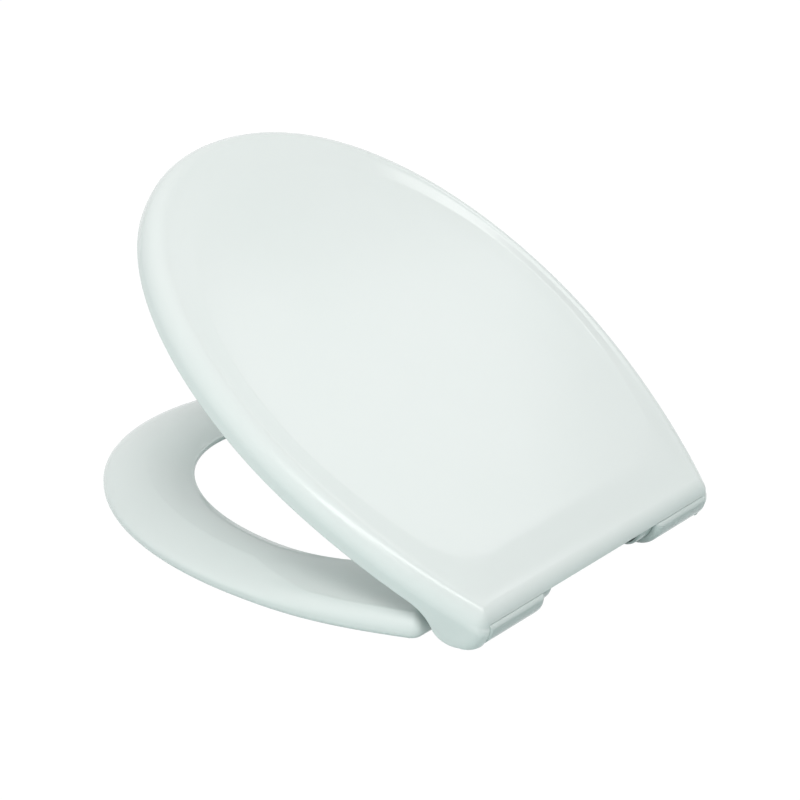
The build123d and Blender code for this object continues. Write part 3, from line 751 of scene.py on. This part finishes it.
def makeRing(look):
    shape, hole, rows = look["outline"], look["hole"], look["rows"]
    stations = spans(0.0, *look["spans"])
    insets = np.arange(0, max(look["crestInset"].values()) + insetStep, insetStep)
    halves = [halfOutline(shape, inset, stations) for inset in insets]
    loops = np.stack([mirrorLoop(half) for half in halves])
    columns = loops.shape[1]
    # headings from the opening's centre; from the rear corner on they close in evenly and pass round the notch
    guide = halves[np.searchsorted(insets, look["guideInset"])]
    heading = np.pi - np.arctan2(guide[:, 0], guide[:, 1] + hole["centre"])
    closing = {3.0: 180 - np.degrees(heading[stations == 3.0][0]), **look["rearHeading"]}
    rearward = np.pi - np.radians(np.interp(stations, list(closing), list(closing.values())))
    heading = np.maximum.accumulate(np.clip(np.where(stations < 3, heading, rearward), 0, np.pi))
    rim = holeAt(hole, 0, heading)
    byStation = {k: mirrorValues(np.interp(stations, list(look[k]), list(look[k].values())))
                 for k in ("crestInset", "ridgeAngle", "ridgeFall")}
    crest = atInset(loops, insets, byStation["crestInset"][None])[0]
    lipOut = holeAt(hole, look["channelLip"], heading)
    across = np.linalg.norm(crest - rim, axis=1)
    ease = easeInOut(mirrorValues(np.clip((stations - 3) * look["notchEase"], 0, 1)))
    shoulder = look["shoulder"] + (look["notchShoulder"] - look["shoulder"]) * ease
    base = look["base"] + (look["notchBase"] - look["base"]) * ease
    strips = []
    # opening's wall and its rounded upper edge
    rounding, lip, under = look["innerRound"], look["lipRound"], look["underRound"]
    start = rounding / across

    def dishHeight(s):
        # a part that falls evenly from the crest and a part that steepens towards the opening's edge
        even = byStation["ridgeFall"]
        fall = even * (1 - s) + (1 - even) * (1 - s) ** look["dishPower"]
        return look["crest"] - (look["crest"] - look["innerEdge"]) * fall

    edgeTop = dishHeight(start)
    share = np.linspace(0, 1, rows["wall"])[:, None]
    low, high = look["lipBottom"] + under, edgeTop - rounding
    addRows(strips, np.broadcast_to(rim, (rows["wall"], columns, 2)), low + share * (high - low))
    turn = np.linspace(0, quarter, rows["inner"] + 1)[1:, None]
    outward = (crest - rim) / across[:, None]
    height = edgeTop - rounding * (1 - np.sin(turn))
    addRows(strips, rim + outward * (rounding * (1 - np.cos(turn)))[..., None], height)
    # dish up to the crest, then an elliptical flank that meets it at an angle: a ridge where the angle is small
    share = start + (1 - start) * np.linspace(0, 1, rows["dish"] + 1)[1:, None]
    addRows(strips, rim + (crest - rim) * share[..., None], dishHeight(share))
    ridge = np.radians(byStation["ridgeAngle"])
    turn = ridge * np.linspace(1, 0, rows["shoulder"] + 1)[1:, None]
    out = (np.cos(turn) - np.cos(ridge)) / (1 - np.cos(ridge))
    height = look["crest"] - shoulder * (1 - np.sin(turn) / np.sin(ridge))
    addRows(strips, crest + (loops[0] - crest) * out[..., None], height)
    # side, base and the underside with its channel
    share = np.linspace(0, 1, rows["side"] + 1)[1:-1, None]
    high, low = look["crest"] - shoulder, look["bottom"] + base
    addRows(strips, np.broadcast_to(loops[0], (rows["side"] - 1, columns, 2)), high + (low - high) * share)
    turn = np.linspace(0, quarter, rows["base"] + 1)[:, None]
    addRows(strips, atInset(loops, insets, base * (1 - np.cos(turn))), look["bottom"] + base * (1 - np.sin(turn)))
    full = np.ones((1, columns))
    wall, channel = look["wall"], look["channelWall"]
    for inset, height in (
        (wall - lip, look["bottom"]), (wall, look["bottom"] + lip),
        (wall, look["lipBottom"] - lip), (wall + lip, look["lipBottom"]),
        (channel - lip, look["lipBottom"]), (channel, look["lipBottom"] + lip), (channel, look["channelTop"]),
    ):
        addRows(strips, atInset(loops, insets, inset * full), height)
    towards = (rim - lipOut) / np.linalg.norm(rim - lipOut, axis=1)[:, None]
    for plan, height in (
        (lipOut, look["channelTop"]),
        (lipOut, look["lipBottom"] + lip),
        (lipOut + towards * lip, look["lipBottom"]),
    ):
        addRows(strips, plan[None], height)
    turn = np.linspace(0, quarter, rows["under"] + 1)[:-1, None]
    height = look["lipBottom"] + under * (1 - np.cos(turn))
    addRows(strips, rim - towards * (under * (1 - np.sin(turn)))[..., None], height)
    grid = np.concatenate(strips)
    points = grid.reshape(-1, 3) + (0, hinge[1], 0)
    shells = [(points, [gridFaces(len(grid), columns, closeRows=True)])]
    for side in ("left", "right"):
        low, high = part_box(f"seat_bush_{side}")
        shells.append(lugShell(look, low.x / mm, high.x / mm))
        for end in ("front", "rear"):
            low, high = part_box(f"seat_buffer_{end}_{side}")
            place = np.array((low + high) / 2) / mm
            root = look["channelTop"] + look["rootSink"]
            pad = turnedBoss(place, look["padRadius"], look["padFoot"], root, look["lipBottom"], columns=48)
            shells.append(pad)
    shells += ribShells(look, hole, atInset(loops, insets, look["ribEnd"] * full)[0])
    ring = buildPiece("seat_ring_shell", shells, seatPlastic, "seat")
    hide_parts("seat_ring")
    return ring


ring = makeRing(ringLook)
print("ring made:", len(ring.data.polygons), "faces")

# floor, world and lamps
stageLook = {
    "floorSize": 12.0, "floorDrop": 0.2,
    "floorColour": "#AFC4C2",
    "glow": 0.92,
    "glowStrength": 1.085,
    "walls": {
        "above": {"towards": (0.0, 0.0, 1.0), "strength": 0.1},
        "left": {"towards": (-1.0, 0.0, 0.0), "strength": 0.45},
        "right": {"towards": (1.0, 0.0, 0.0), "strength": 1.25},
        "rear": {"towards": (0.0, 1.0, 0.0), "strength": 0.3},
        "frontAndAbove": {"towards": (0.0, -0.75, 0.66), "strength": 0.42},
    },
}


def mathNode(tree, operation, *values):
    # numbers are set on the sockets in order, outputs of other nodes are linked to them
    node = addNode(tree, "ShaderNodeMath", {"operation": operation})
    for socket, value in zip(node.inputs, values):
        if isinstance(value, float):
            socket.default_value = value
        else:
            tree.links.new(value, socket)
    return node.outputs[0]


def seenRays(tree, share):
    # 1 for rays from the camera, in reflections and through clear things, else 0, times a share
    rays = addNode(tree, "ShaderNodeLightPath")
    seen = 0.0
    for kind in ("Is Camera Ray", "Is Glossy Ray", "Is Transmission Ray"):
        seen = mathNode(tree, "MAXIMUM", rays.outputs[kind], seen)
    return mathNode(tree, "MULTIPLY", seen, share)


def mixTwo(tree, factor, first, second):
    # the first shader where the factor is 0, the second where it is 1
    mix = addNode(tree, "ShaderNodeMixShader")
    tree.links.new(factor, mix.inputs[0])
    tree.links.new(first, mix.inputs[1])
    tree.links.new(second, mix.inputs[2])
    return mix.outputs[0]


def makeFloor(look):
    # pale paper sweep that looks white and keeps a faint shadow
    half = look["floorSize"] / 2
    low = -look["floorDrop"] * mm
    corners = [(-half, -half, low), (half, -half, low), (half, half, low), (-half, half, low)]
    mesh = bpy.data.meshes.new("floor")
    mesh.from_pydata(corners, [], [(0, 1, 2, 3)])
    floor = bpy.data.objects.new("floor", mesh)
    bpy.context.scene.collection.objects.link(floor)
    material, tree = newMaterial("white_floor")
    paper = addNode(tree, "ShaderNodeBsdfDiffuse", {"Color": hexToLinear(look["floorColour"])})
    white = addNode(tree, "ShaderNodeEmission", {"Color": (1, 1, 1, 1), "Strength": look["glowStrength"]})
    surface = mixTwo(tree, seenRays(tree, look["glow"]), paper.outputs[0], white.outputs[0])
    addNode(tree, "ShaderNodeOutputMaterial", links={"Surface": surface})
    mesh.materials.append(material)


def makeWorld(look):
    # a light tent seen as plain white: each wall lights by the square of the cosine to its middle
    world = bpy.data.worlds.new("studio")
    bpy.context.scene.world = world
    world.use_nodes = True
    tree = world.node_tree
    tree.nodes.clear()
    heading = addNode(tree, "ShaderNodeTexCoord").outputs["Generated"]
    total = 0.0
    for wall in look["walls"].values():
        facing = addNode(tree, "ShaderNodeVectorMath", {"operation": "DOT_PRODUCT"})
        tree.links.new(heading, facing.inputs[0])
        facing.inputs[1].default_value = wall["towards"]
        ahead = mathNode(tree, "MAXIMUM", facing.outputs["Value"], 0.0)
        squared = mathNode(tree, "POWER", ahead, 2.0)
        total = mathNode(tree, "MULTIPLY_ADD", squared, wall["strength"], total)
    dim = addNode(tree, "ShaderNodeBackground", {"Color": (1, 1, 1, 1)}, {"Strength": total})
    white = addNode(tree, "ShaderNodeBackground", {"Color": (1, 1, 1, 1), "Strength": 1.0})
    surface = mixTwo(tree, seenRays(tree, 1.0), dim.outputs[0], white.outputs[0])
    addNode(tree, "ShaderNodeOutputWorld", links={"Surface": surface})


# two soft boxes that light the surfaces, and strips and cards that only show as highlights on the gloss
lampLook = {
    "keyBox": {
        "azimuth": 37.0, "elevation": 50.0, "distance": 3.0, "aim": (0.0, -0.1, 0.1), "size": (1.3, 1.3),
        "power": 44.0, "lights": True, "colour": "#FFFBFB",
    },
    "leftBox": {
        "azimuth": 180.0, "elevation": 50.0, "distance": 3.0, "aim": (0.0, -0.1, 0.1), "size": (1.3, 1.3),
        "power": 22.0, "lights": True, "colour": "#FFFBFB",
    },
    "rearStrip": {
        "azimuth": 84.0, "elevation": 60.0, "distance": 3.2, "aim": (0.17, -0.03, 0.08), "size": (3.7, 0.4),
        "power": 20.0,
    },
    "sideStrip": {
        "azimuth": 4.0, "elevation": 43.0, "distance": 4.0, "aim": (0.17, -0.1, 0.1), "size": (2.4, 0.9),
        "power": 3.0,
    },
    "panelCard": {
        "azimuth": 167.0, "elevation": 46.0, "distance": 3.0, "aim": (0.0, -0.1, 0.12), "size": (0.8, 0.7),
        "power": 2.0,
    },
    "farCard": {
        "azimuth": 182.0, "elevation": 31.0, "distance": 3.0, "aim": (-0.15, -0.15, 0.16), "size": (0.9, 0.6),
        "power": 3.2,
    },
}


def makeLamp(name, look):
    # stands at a heading and height about its aim and faces it; a lamp either lights or shows in the gloss
    data = bpy.data.lights.new(name, "AREA")
    data.shape = "RECTANGLE"
    data.size, data.size_y = look["size"]
    data.energy = look["power"]
    data.color = hexToLinear(look.get("colour", "#FFFFFF"))[:3]
    lamp = bpy.data.objects.new(name, data)
    bpy.context.scene.collection.objects.link(lamp)
    turn, lift = np.radians([look["azimuth"], look["elevation"]])
    towards = Vector((np.cos(lift) * np.cos(turn), np.cos(lift) * np.sin(turn), np.sin(lift)))
    lamp.location = Vector(look["aim"]) + look["distance"] * towards
    lamp.rotation_mode = "QUATERNION"
    lamp.rotation_quaternion = (-towards).to_track_quat("-Z", "Y")
    lamp.visible_diffuse = look.get("lights", False)
    lamp.visible_glossy = not lamp.visible_diffuse


makeFloor(stageLook)
makeWorld(stageLook)
for lampName, look in lampLook.items():
    makeLamp(lampName, look)
bpy.context.scene.view_settings.view_transform = "Standard"
print("stage and lamps set")
